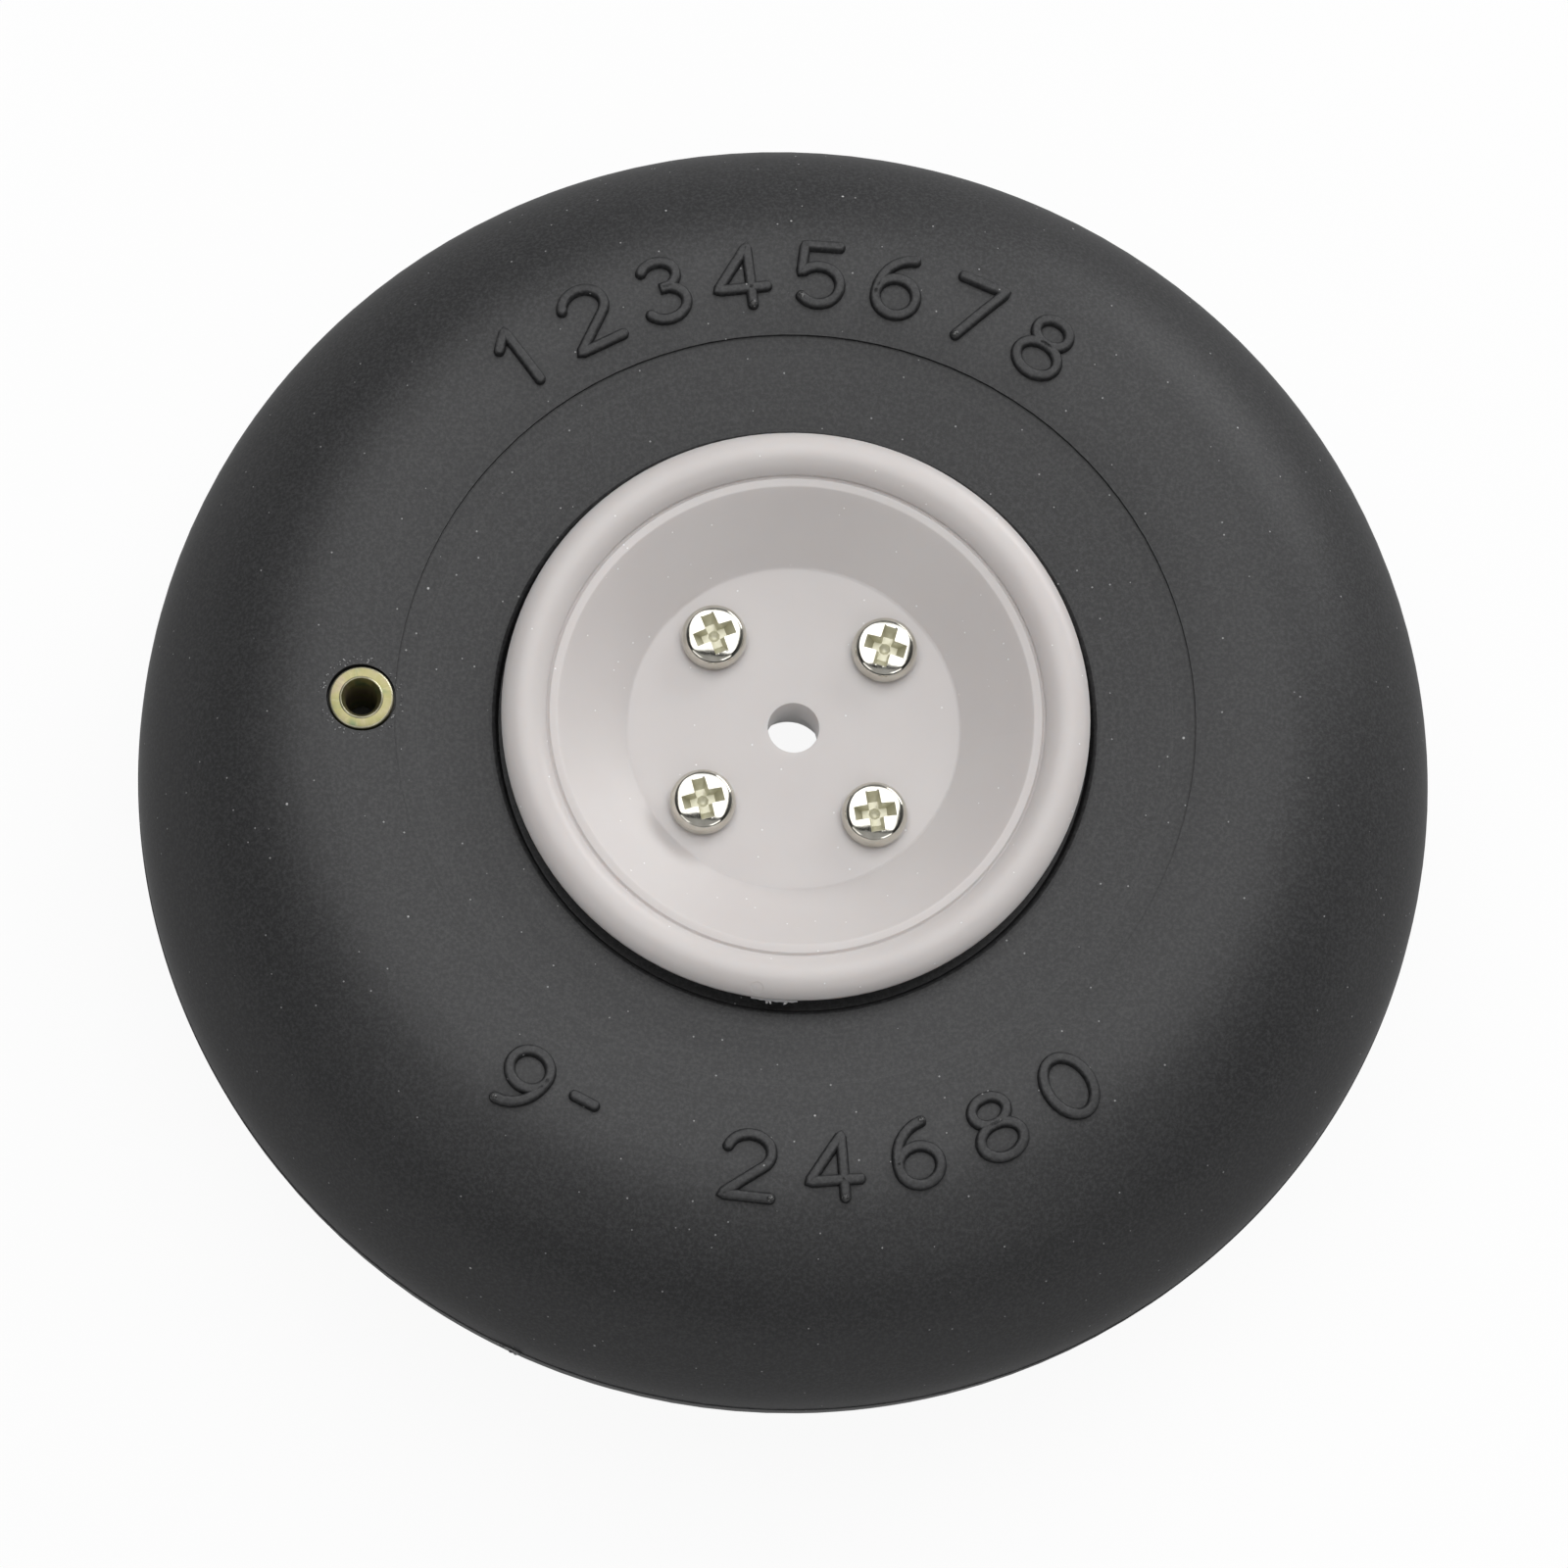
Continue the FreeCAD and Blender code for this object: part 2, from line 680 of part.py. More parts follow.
def main():
    doc = FreeCAD.newDocument("AircraftWheel")
    sheet = Sheet(doc)
    builders = (build_tyre, build_hub_front, build_hub_rear, build_screws, build_nuts,
                build_valve_insert, build_valve_plug)
    bodies = [build(doc, sheet) for build in builders]
    doc.recompute()
    check(doc, bodies)
    os.makedirs("parts", exist_ok=True)
    for body in bodies:
        body.Shape.exportStep(f"parts/{body.Label}.step")
        print(body.Label, len(body.Shape.Solids), "solids", round(body.Shape.Volume, 1), "mm3")


main()
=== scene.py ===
"""Looks of an inflatable model aircraft wheel: rubber tyre, moulded hub, screws and valve bush."""
import math
import random

import bmesh
import bpy
from mathutils import Matrix, Vector
from mathutils.bvhtree import BVHTree

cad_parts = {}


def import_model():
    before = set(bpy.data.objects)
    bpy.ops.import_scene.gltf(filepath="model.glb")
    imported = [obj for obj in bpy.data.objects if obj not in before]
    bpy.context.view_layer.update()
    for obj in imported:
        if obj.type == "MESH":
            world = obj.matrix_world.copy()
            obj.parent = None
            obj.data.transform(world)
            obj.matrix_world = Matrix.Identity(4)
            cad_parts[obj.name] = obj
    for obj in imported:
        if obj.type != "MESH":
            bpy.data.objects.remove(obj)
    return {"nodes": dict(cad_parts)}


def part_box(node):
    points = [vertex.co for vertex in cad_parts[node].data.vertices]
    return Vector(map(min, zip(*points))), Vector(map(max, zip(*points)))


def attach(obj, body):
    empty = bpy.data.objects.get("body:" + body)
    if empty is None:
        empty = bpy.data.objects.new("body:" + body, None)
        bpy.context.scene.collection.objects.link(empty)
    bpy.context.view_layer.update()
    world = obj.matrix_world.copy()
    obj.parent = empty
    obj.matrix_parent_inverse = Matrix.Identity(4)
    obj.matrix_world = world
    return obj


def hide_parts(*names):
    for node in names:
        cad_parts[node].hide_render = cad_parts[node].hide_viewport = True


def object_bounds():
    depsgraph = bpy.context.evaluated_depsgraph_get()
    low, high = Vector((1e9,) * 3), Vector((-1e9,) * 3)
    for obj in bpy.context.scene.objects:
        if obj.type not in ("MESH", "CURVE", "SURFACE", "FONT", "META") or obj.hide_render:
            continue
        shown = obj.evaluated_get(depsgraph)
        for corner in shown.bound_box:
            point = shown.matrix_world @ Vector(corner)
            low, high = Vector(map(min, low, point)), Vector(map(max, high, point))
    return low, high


MM = 0.001

# The camera looks down on the dished face. Angles are in degrees, the lens in millimetres.
CAMERA_AZIMUTH = -6.83
CAMERA_ELEVATION = 74.35
CAMERA_ROLL = 10.82
CAMERA_DISTANCE = 500 * MM
CAMERA_LENS = 144.9
CAMERA_ASIDE = -0.09 * MM
CAMERA_DROP = 0.93 * MM

# Soft lamps: name, azimuth and elevation in degrees, size in metres, share of plain light.
LAMP_DISTANCE = 1.0
LAMPS = [
    ("lamp_over", 88, 70, (1.15, 1.0), 0.79),
    ("lamp_edge", 52, 18, (0.6, 0.35), 0.38),
    ("lamp_near", 268, 52, (1.2, 1.0), 0.14),
    ("lamp_near_left", 222, 40, (0.4, 0.4), 0.06),
    ("lamp_near_right", 310, 40, (0.4, 0.4), 0.08),
]

# The room: light falls from one level to the other between two cosines to the dim quarter.
DIM_QUARTER = (0.0, -0.55, 0.83)
DIM_COSINES = (-0.3, 0.8)
ROOM_LEVELS = (0.22, 0.03)

FLOOR_REACH = 3.0              # metres from its middle to its edge
FLOOR_PALENESS = (0.38, 0.95)  # to light that bounces about, and where it is seen
FLOOR_GLOW = 0.93              # its share of plain white where it is seen

# Raised characters on the sidewall: sizes in millimetres, places as azimuths in degrees.
TEXT_RADIUS = 35.6
TEXT_HEIGHT = 4.7
UPPER_START = 130.7
UPPER_SPACING = 10.0
UPPER_ROW = [(str(digit), UPPER_START - UPPER_SPACING * (digit - 1)) for digit in range(1, 9)]
LOWER_ROW = [("9", -121.8), ("-", -113.8), ("2", -92.3), ("4", -82.0), ("6", -71.7),
             ("8", -61.4), ("0", -51.1)]

# Half of a stroke's section, as (aside, height) in millimetres from its middle and the sidewall.
STROKE_SECTION = [(0.45, -0.15), (0.44, 0.12), (0.40, 0.36), (0.33, 0.51), (0.24, 0.57),
                  (0.14, 0.58)]
STROKE_STEP = 0.16             # between sections along a stroke
STROKE_MERGE = 0.002 * MM      # points closer than this become one
CAP_STEPS = 6
BEND_STEP = 12                 # degrees between points on a curve
BEND_LEAST = 4                 # points on the shortest curve

# Torn ends of the mould's vents: (place in the row, whether at the end of the last stroke).
UPPER_NIBS = [(3, False), (4, True), (6, True)]
LOWER_NIBS = [(2, True), (3, False), (4, False), (0, False)]
NIB_SIZES = (0.36 * MM, 0.36 * MM, 0.28 * MM)
NIB_LIFT = 0.38 * MM
NIB_ROUGHNESS = 0.06
NIB_SEED = 5

# Pan-head screw, as (radius, height) in millimetres from the seat under the head.
HEAD_SECTION = [(2.3, 0.0), (2.44, 0.08), (2.53, 0.26), (2.55, 0.5), (2.53, 0.8), (2.46, 1.08),
                (2.34, 1.32), (2.18, 1.48), (2.08, 1.53), (2.02, 1.55), (1.9, 1.583), (1.76, 1.62),
                (1.62, 1.653), (1.5, 1.68), (1.25, 1.735), (1.0, 1.78), (0.5, 1.83), (0.0, 1.85)]
HEAD_WIDEST = 3                # the section's widest point
HEAD_SEAT = 1.9                # the plain head's rise over its seat
HEAD_OVERLAP = 0.02            # how far the shank runs into the head
SHANK_RADIUS = 1.25
SHANK_SIDES = 40
THREAD_PITCH = 0.45
THREAD_DEPTH = 0.24
THREAD_RUN = 7.0
THREAD_ROWS = 10               # rows of points for each turn
THREAD_FADE = 0.2              # where it runs out into the plain shank
TIP_CHAMFER = 0.35
SCREW_TURNS = {"upper_right": -13, "upper_left": 25, "lower_left": 18, "lower_right": 12}

# Punch for the cross recess: blades of (half length, half width, height) and a pointed middle.
PUNCH_BLADE = [(1.76, 0.60, 2.3), (1.60, 0.53, 1.62), (0.95, 0.36, 0.75)]
PUNCH_MIDDLE = [(0.0, 2.4), (0.98, 2.4), (0.80, 1.7), (0.50, 0.8), (0.0, 0.15)]
PUNCH_SIDES = 8
EASE_WIDTH = 0.06              # bevel along the edges that the punch leaves
EASE_SEGMENTS = 3
EASE_ANGLE = 38
RECESS_REACH = 2.1             # the recess's faces lie within this radius,
RECESS_FLOOR = 0.05            # above this height
RECESS_DEPTH = 0.03            # and at least this far under the head's face

# Sections of (outwards, height) in millimetres, and the stretches they run along in degrees.
RIDGE_SECTION = [(-0.3, 0.16), (0.04, 0.06), (0.06, 0.0), (0.04, -0.06), (-0.3, -0.16)]
RIDGE_STEPS = 720
FIN_SECTION = [(-0.2, 0.08), (0.42, 0.05), (0.45, 0.0), (0.42, -0.05), (-0.2, -0.08)]
FIN_STRETCH = (247.0, 250.2)
FIN_STEPS = 40
GATE_SECTION = [(-0.25, 0.06), (0.08, 0.02), (0.13, -0.06), (0.1, -0.2), (-0.25, -0.22)]
GATE_STRETCH = (264.8, 273.8)
GATE_STEPS = 60
GATE_HEIGHT = 16.7 * MM
GATE_CRUMBS = (268.0, 268.6, 271.5)
GATE_CRUMB_SIZES = (0.16 * MM, 0.1 * MM, 0.1 * MM)
GATE_CRUMB_OUT = 0.16 * MM
GATE_CRUMB_DROP = 0.1 * MM
GATE_CRUMB_ROUGHNESS = 0.4
GATE_SEED = 3

DIMPLE_AZIMUTH = 265.7
DIMPLE_RADIUS = 22.05 * MM     # from the wheel's axis
DIMPLE_EDGE = (0.42 * MM, 0.5 * MM)

# Valve bush, as (radius, height) in millimetres from the flange's face; it closes on itself.
VALVE_SECTION = [(2.30, 0.0), (2.38, -0.03), (2.44, -0.08), (2.47, -0.16), (2.47, -0.88),
                 (1.9, -0.9), (1.9, -1.6), (1.7, -1.75), (1.9, -2.8), (1.7, -2.95), (1.9, -4.0),
                 (1.7, -4.15), (1.9, -5.2), (1.7, -5.35), (1.65, -6.9), (1.22, -6.9),
                 (1.22, -0.62), (1.28, -0.5), (1.34, -0.32), (1.44, -0.16), (1.50, 0.0),
                 (1.53, 0.05), (1.58, 0.07), (1.64, 0.05), (1.69, 0.0)]
# Pale rings at the flange's edge and at the mouth: painted highlight along those edges, where the
# plating is also worn.
VALVE_WORN_AND_HIGHLIGHT_RINGS = (1.6 * MM, 2.38 * MM)
VALVE_WORN_AND_HIGHLIGHT_WIDTH = 0.06 * MM

# Rubber crumbs round the valve: distances and sizes in millimetres.
CRUMB_COUNT = 90
CRUMB_DISTANCES = (2.75, 3.3)
CRUMB_SIZES = (0.02, 0.062)
CRUMB_LENGTHS = (1, 2)         # times its size
CRUMB_LIFT = 0.4               # times its size
CRUMB_SEED = 11

LATHE_SIDES = 96
BEAD_EDGE = 30.7 * MM          # radius of the plain bead face
BEAD_FACE = 15 * MM            # it lies further than this from the tyre's middle plane
RAY_START = 0.1                # metres, over the whole wheel


class Nodes:
    """A material's node tree with one short call for each node."""

    def __init__(self, name):
        self.material = bpy.data.materials.new(name)
        self.material.use_nodes = True
        self.tree = self.material.node_tree
        self.tree.nodes.clear()

    def add(self, kind, inputs=None, **settings):
        node = self.tree.nodes.new("ShaderNode" + kind)
        for name, value in settings.items():
            setattr(node, name, value)
        for name, value in (inputs or {}).items():
            self.feed(node, name, value)
        return node

    def feed(self, node, name, value):
        socket = node.inputs[name]
        if isinstance(value, bpy.types.NodeSocket):
            self.tree.links.new(value, socket)
        else:
            socket.default_value = value

    def maths(self, operation, *values):
        node = self.add("Math", operation=operation)
        for index, value in enumerate(values):
            self.feed(node, index, value)
        return node.outputs[0]

    def point(self):
        return self.add("TexCoord").outputs["Object"]

    def split(self, vector):
        return self.add("SeparateXYZ", {0: vector}).outputs

    def join(self, x, y, z):
        return self.add("CombineXYZ", {0: x, 1: y, 2: z}).outputs[0]

    def off_axis(self, x, y):
        """Distance from the Z axis."""
        squares = self.maths("ADD", self.maths("MULTIPLY", x, x), self.maths("MULTIPLY", y, y))
        return self.maths("SQRT", squares)

    def noise(self, vector, scale, detail, roughness):
        node = self.add("TexNoise", {"Scale": scale, "Detail": detail, "Roughness": roughness})
        self.feed(node, "Vector", vector)
        return node.outputs["Fac"]

    def between(self, value, low, high, bottom=0.0, top=1.0):
        node = self.add("MapRange", {0: value, 1: low, 2: high, 3: bottom, 4: top})
        return node.outputs[0]

    def ramp(self, factor, *stops):
        node = self.add("ValToRGB", {"Fac": factor})
        elements = node.color_ramp.elements
        while len(elements) < len(stops):
            elements.new(0.5)
        for element, (place, colour) in zip(elements, stops):
            element.position = place
            element.color = (*colour, 1.0)
        return node.outputs["Color"]

    def mix(self, factor, first, second):
        """Two colours mixed, each a socket or three numbers."""
        node = self.add("Mix", {0: factor}, data_type="RGBA")
        for index, colour in ((6, first), (7, second)):
            linked = isinstance(colour, bpy.types.NodeSocket)
            self.feed(node, index, colour if linked else (*colour, 1.0))
        return node.outputs[2]

    def bump(self, height, strength, distance, normal=None):
        node = self.add("Bump", {"Height": height, "Strength": strength, "Distance": distance})
        if normal is not None:
            self.feed(node, "Normal", normal)
        return node.outputs["Normal"]

    def specks(self, point, scale, share, radius):
        """1 inside round dots, which this share of the cells hold."""
        cells = self.add("TexVoronoi", {"Vector": point, "Scale": scale})
        chosen = self.maths("LESS_THAN", self.split(cells.outputs["Color"])[0], share)
        near = self.maths("LESS_THAN", cells.outputs["Distance"], radius)
        return self.maths("MULTIPLY", chosen, near)

    def finish(self, shader):
        output = self.add("OutputMaterial")
        self.tree.links.new(shader, output.inputs["Surface"])
        return self.material


def rubber_material():
    """Matt moulded rubber: fine grain, turned rings on the bead face, and a little white dust."""
    nodes = Nodes("tyre_rubber")
    point = nodes.point()
    x, y, z = nodes.split(point)[0:3]
    radius = nodes.off_axis(x, y)
    bead = nodes.maths("MULTIPLY", nodes.maths("LESS_THAN", radius, BEAD_EDGE),
                       nodes.maths("GREATER_THAN", nodes.maths("ABSOLUTE", z), BEAD_FACE))
    across = nodes.join(radius, 0.0, nodes.maths("MULTIPLY", z, 0.02))
    rings = nodes.noise(across, scale=4000.0, detail=3.0, roughness=0.6)
    cloud = nodes.noise(point, scale=55.0, detail=4.0, roughness=0.6)
    grain = nodes.noise(point, scale=3600.0, detail=3.0, roughness=0.7)

    colour = nodes.ramp(cloud, (0.3, (0.019, 0.0192, 0.0202)), (0.7, (0.025, 0.0252, 0.0262)))
    colour = nodes.mix(nodes.between(grain, 0.42, 0.72, 0.0, 0.6), colour, (0.075, 0.075, 0.077))
    ringed = nodes.maths("MULTIPLY", bead, nodes.between(rings, 0.52, 0.8, 0.0, 0.2))
    colour = nodes.mix(ringed, colour, (0.10, 0.10, 0.10))
    dust = nodes.specks(point, scale=700.0, share=0.9, radius=0.05)
    colour = nodes.mix(dust, colour, (0.30, 0.30, 0.30))
    dust = nodes.specks(point, scale=310.0, share=0.4, radius=0.03)
    colour = nodes.mix(dust, colour, (0.45, 0.45, 0.45))

    normal = nodes.bump(grain, strength=0.25, distance=0.04 * MM)
    normal = nodes.bump(nodes.maths("MULTIPLY", rings, bead), 0.25, 0.03 * MM, normal)
    body = nodes.add("BsdfPrincipled", {
        "Base Color": colour, "Roughness": nodes.maths("MULTIPLY_ADD", grain, 0.14, 0.44),
        "Normal": normal, "IOR": 1.5, "Specular IOR Level": 0.05,
    })
    sheen = nodes.add("BsdfGlossy", {
        "Color": (1.0, 1.0, 1.0, 1.0), "Roughness": 0.5, "Normal": normal,
    })
    facing = nodes.add("LayerWeight", {"Blend": 0.5}).outputs["Facing"]
    share = nodes.between(facing, 0.2, 0.85, 0.031, 0.003)
    shader = nodes.add("MixShader", {0: share, 1: body.outputs[0], 2: sheen.outputs[0]})
    return nodes.finish(shader.outputs[0])


def nib_material():
    """Torn shiny rubber where the mould's vents were pulled off, with glints painted on as pale
    patches.
    """
    nodes = Nodes("nib_rubber")
    tear_and_glints = nodes.noise(nodes.point(), scale=3800.0, detail=2.0, roughness=0.7)
    # The palest stop paints glints onto the torn rubber.
    colour = nodes.ramp(tear_and_glints, (0.35, (0.015, 0.015, 0.015)), (0.62, (0.05, 0.05, 0.05)),
                        (0.75, (0.42, 0.42, 0.41)))
    shader = nodes.add("BsdfPrincipled", {
        "Base Color": colour, "Roughness": nodes.maths("MULTIPLY_ADD", tear_and_glints, 0.2, 0.08),
        "Normal": nodes.bump(tear_and_glints, strength=0.9, distance=0.12 * MM), "IOR": 1.55,
    })
    return nodes.finish(shader.outputs[0])


def crumb_material():
    """Scraps and flash of torn rubber, pale in patches that are painted glints."""
    nodes = Nodes("rubber_crumbs")
    cloud = nodes.noise(nodes.point(), scale=2500.0, detail=2.0, roughness=0.6)
    # The pale stop paints glints onto the dark torn rubber.
    colour = nodes.ramp(cloud, (0.38, (0.07, 0.07, 0.075)), (0.68, (0.5, 0.5, 0.5)))
    shader = nodes.add("BsdfPrincipled", {
        "Base Color": colour, "Roughness": nodes.maths("MULTIPLY_ADD", cloud, 0.3, 0.35),
    })
    return nodes.finish(shader.outputs[0])


def plastic_material(dimple):
    """Warm grey moulded plastic: faint flow marks, bright specks and a dimple near the gate."""
    nodes = Nodes("hub_plastic")
    point = nodes.point()
    cloud = nodes.noise(point, scale=75.0, detail=4.0, roughness=0.55)
    grain = nodes.noise(point, scale=1400.0, detail=3.0, roughness=0.5)
    colour = nodes.ramp(cloud, (0.3, (0.65, 0.612, 0.60)), (0.7, (0.68, 0.646, 0.632)))
    specks = nodes.specks(point, scale=900.0, share=0.6, radius=0.06)
    colour = nodes.mix(nodes.maths("MULTIPLY", specks, 0.9), colour, (0.97, 0.97, 0.97))
    normal = nodes.bump(grain, strength=0.12, distance=0.03 * MM)
    normal = nodes.bump(cloud, 0.15, 0.1 * MM, normal)
    away = nodes.add("VectorMath", {0: point, 1: dimple}, operation="DISTANCE").outputs["Value"]
    normal = nodes.bump(nodes.between(away, *DIMPLE_EDGE), 0.6, 0.05 * MM, normal)
    shader = nodes.add("BsdfPrincipled", {
        "Base Color": colour, "Roughness": nodes.maths("MULTIPLY_ADD", grain, 0.12, 0.34),
        "Normal": normal, "IOR": 1.52, "Subsurface Weight": 0.6,
        "Subsurface Radius": (1.0, 0.85, 0.75), "Subsurface Scale": 1.6 * MM,
    })
    return nodes.finish(shader.outputs[0])


def plated_material(name, low, high, roughness, ripple, metallic=1.0):
    """Plating that is a little uneven."""
    nodes = Nodes(name)
    point = nodes.point()
    cloud = nodes.noise(point, scale=700.0, detail=3.0, roughness=0.6)
    wave = nodes.noise(point, scale=350.0, detail=2.0, roughness=0.5)
    shader = nodes.add("BsdfPrincipled", {
        "Base Color": nodes.ramp(cloud, (0.35, low), (0.65, high)), "Metallic": metallic,
        "Roughness": nodes.maths("MULTIPLY_ADD", cloud, 0.1, roughness),
        "Normal": nodes.bump(wave, ripple, 0.05 * MM),
    })
    return nodes.finish(shader.outputs[0])


def zinc_material():
    """Yellow passivated zinc: green and pink patches, scratches outwards, and pale rings at the
    edges that are painted highlight as well as worn plating.
    """
    nodes = Nodes("valve_metal")
    point = nodes.point()
    x, y = nodes.split(point)[0:2]
    turn = nodes.maths("ARCTAN2", y, x)
    radius = nodes.off_axis(x, y)
    outwards = nodes.join(turn, nodes.maths("MULTIPLY", radius, 150.0), 0.0)
    streak = nodes.noise(outwards, scale=5.0, detail=3.0, roughness=0.6)
    cloud = nodes.noise(point, scale=520.0, detail=2.0, roughness=0.5)
    colour = nodes.ramp(cloud, (0.34, (0.18, 0.22, 0.12)), (0.46, (0.30, 0.28, 0.13)),
                        (0.56, (0.33, 0.30, 0.16)), (0.68, (0.34, 0.28, 0.20)))
    scratched = nodes.between(streak, 0.52, 0.78, 0.0, 0.6)
    colour = nodes.mix(scratched, colour, (0.50, 0.46, 0.28))
    # Paler rings at the edges: painted highlight, with the plating worn there too.
    for edge in VALVE_WORN_AND_HIGHLIGHT_RINGS:
        away = nodes.maths("ABSOLUTE", nodes.maths("SUBTRACT", radius, edge))
        worn_and_highlit = nodes.maths("LESS_THAN", away, VALVE_WORN_AND_HIGHLIGHT_WIDTH)
        colour = nodes.mix(nodes.maths("MULTIPLY", worn_and_highlit, 0.8), colour, (0.66, 0.63, 0.46))
    shader = nodes.add("BsdfPrincipled", {
        "Base Color": colour, "Metallic": 0.85,
        "Roughness": nodes.maths("MULTIPLY_ADD", streak, 0.25, 0.24),
        "Normal": nodes.bump(streak, strength=0.35, distance=0.02 * MM),
    })
    return nodes.finish(shader.outputs[0])


def add_object(name, mesh, material):
    """A piece of the wheel, which rides on the one body."""
    piece = bpy.data.objects.new(name, mesh)
    bpy.context.collection.objects.link(piece)
    if not mesh.materials:
        mesh.materials.append(material)
    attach(piece, "root")
    return piece


def into_mesh(bm, name):
    mesh = bpy.data.meshes.new(name)
    bm.to_mesh(mesh)
    bm.free()
    return mesh


def solid_mesh(bm, name):
    """A mesh with its faces outwards."""
    bmesh.ops.recalc_face_normals(bm, faces=bm.faces)
    return into_mesh(bm, name)


def smooth_mesh(bm, name, crease):
    """A mesh with its faces outwards, smooth except along edges sharper than the crease."""
    bmesh.ops.recalc_face_normals(bm, faces=bm.faces)
    for face in bm.faces:
        face.smooth = True
    for edge in bm.edges:
        edge.smooth = edge.calc_face_angle(0.0) < math.radians(crease)
    return into_mesh(bm, name)


def join_rings(bm, rings, closed_along=False):
    """Faces between rings of vertices that have the same count."""
    pairs = list(zip(rings, rings[1:])) + ([(rings[-1], rings[0])] if closed_along else [])
    for low, high in pairs:
        count = len(low)
        for index in range(count):
            after = (index + 1) % count
            corners = [low[index], low[after], high[after], high[index]]
            corners = [corner for place, corner in enumerate(corners)
                       if corner not in corners[:place]]
            if len(corners) > 2:
                bm.faces.new(corners)


def join_capped(bm, rings):
    """Faces between rings, and one over each end."""
    join_rings(bm, rings)
    bm.faces.new(rings[0])
    bm.faces.new(rings[-1])


def circle(bm, radius, height, sides):
    turns = [2 * math.pi * side / sides for side in range(sides)]
    return [bm.verts.new((radius * math.cos(turn), radius * math.sin(turn), height))
            for turn in turns]


def lathe(section, sides):
    """Turn a section of (radius, height) round Z. It closes on the axis or on itself."""
    bm = bmesh.new()
    rings = []
    for radius, height in section:
        if radius == 0:
            rings.append([bm.verts.new((0, 0, height))] * sides)
        else:
            rings.append(circle(bm, radius, height, sides))
    join_rings(bm, rings, closed_along=section[0][0] > 0)
    return bm


def compass(azimuth):
    """The level direction at an azimuth in degrees."""
    turn = math.radians(azimuth)
    return Vector((math.cos(turn), math.sin(turn), 0))


def middle_of(values):
    return (min(values) + max(values)) / 2


def box_middle(box):
    """The middle of a box as seen from above."""
    low, high = box
    return (low[0] + high[0]) / 2, (low[1] + high[1]) / 2


class Ground:
    """The surface of a node as seen from above."""

    def __init__(self, piece):
        graph = bpy.context.evaluated_depsgraph_get()
        self.tree = BVHTree.FromObject(piece, graph)

    def lift(self, x, y, height):
        """The point this far above the surface at a place, in metres."""
        down = Vector((0, 0, -1))
        place, normal, _, _ = self.tree.ray_cast(Vector((x, y, RAY_START)), down)
        return place + normal * height


# Raised characters: each is a list of strokes in a box one unit high, centred across.

def bend(centre, radii, start, end):
    """Points along a stretch of an ellipse, angles in degrees."""
    count = max(BEND_LEAST, round(abs(end - start) / BEND_STEP))
    angles = [math.radians(start + (end - start) * step / count) for step in range(count + 1)]
    return [(centre[0] + radii[0] * math.cos(angle), centre[1] + radii[1] * math.sin(angle))
            for angle in angles]


def digit_strokes(digit):
    strokes = {
        "0": [bend((0, 0.5), (0.36, 0.5), 90, 450)],
        "1": [[(-0.22, 0.78), (0.04, 1.0), (0.04, 0.0)]],
        "2": [bend((0, 0.70), (0.36, 0.30), 165, -38) + [(-0.38, 0.0), (0.40, 0.0)]],
        "3": [bend((0, 0.76), (0.30, 0.24), 150, -88) + bend((0, 0.27), (0.35, 0.27), 88, -150)],
        "4": [[(0.16, 0.0), (0.16, 1.0), (-0.40, 0.28), (0.42, 0.28)]],
        "5": [[(0.32, 1.0), (-0.26, 1.0), (-0.30, 0.52)]
              + bend((-0.01, 0.32), (0.36, 0.32), 125, -140)],
        "6": [bend((0.26, 0.36), (0.60, 0.64), 96, 180) + bend((0, 0.31), (0.34, 0.31), 180, 540)],
        "7": [[(-0.38, 1.0), (0.38, 1.0), (-0.12, 0.0)]],
        "8": [bend((0, 0.77), (0.29, 0.23), -90, 270), bend((0, 0.27), (0.36, 0.27), 90, 450)],
        "9": [bend((-0.26, 0.64), (0.60, 0.64), -84, 0) + bend((0, 0.69), (0.34, 0.31), 0, 360)],
        "-": [[(-0.2, 0.72), (0.16, 0.72)]],
    }
    return strokes[digit]


def even_steps(path, step):
    """The path again with points no further apart than a step."""
    points = [Vector(path[0])]
    for start, end in zip(path, path[1:]):
        start, end = Vector(start), Vector(end)
        count = max(1, math.ceil((end - start).length / step))
        points += [start.lerp(end, share / count) for share in range(1, count + 1)]
    return points


def cap_row(point, across, outward, section, turn):
    """A row of the rounded cap, turned so many steps from the stroke's own section."""
    angle = math.pi / 2 * turn / CAP_STEPS
    return [(point + across * side * math.cos(angle) + outward * abs(side) * math.sin(angle),
             height) for side, height in section]


def stroke_rows(path):
    """Rows of (place, height) across a stroke, with a rounded cap at each open end."""
    section = STROKE_SECTION + [(-side, height) for side, height in reversed(STROKE_SECTION)]
    closed = (path[0] - path[-1]).length < 1e-6
    points = path[:-1] if closed else path
    final = len(points) - 1
    rows = []
    for index, point in enumerate(points):
        before = points[index - 1] if closed or index else point
        after = points[(index + 1) % len(points)] if closed or index < final else point
        along = (after - before).normalized()
        across = Vector((-along.y, along.x))
        if not closed and index == 0:
            rows += [cap_row(point, across, -along, section, turn)
                     for turn in range(CAP_STEPS, 0, -1)]
        rows.append([(point + across * side, height) for side, height in section])
        if not closed and index == final:
            rows += [cap_row(point, across, along, section, turn)
                     for turn in range(1, CAP_STEPS + 1)]
    return rows, closed


def character_frame(azimuth, upward):
    """Centre, direction of reading and direction of the tops, on the sidewall."""
    out = compass(azimuth).xy
    reading = Vector((out.y, -out.x)) * upward
    return out * TEXT_RADIUS, reading, out * upward


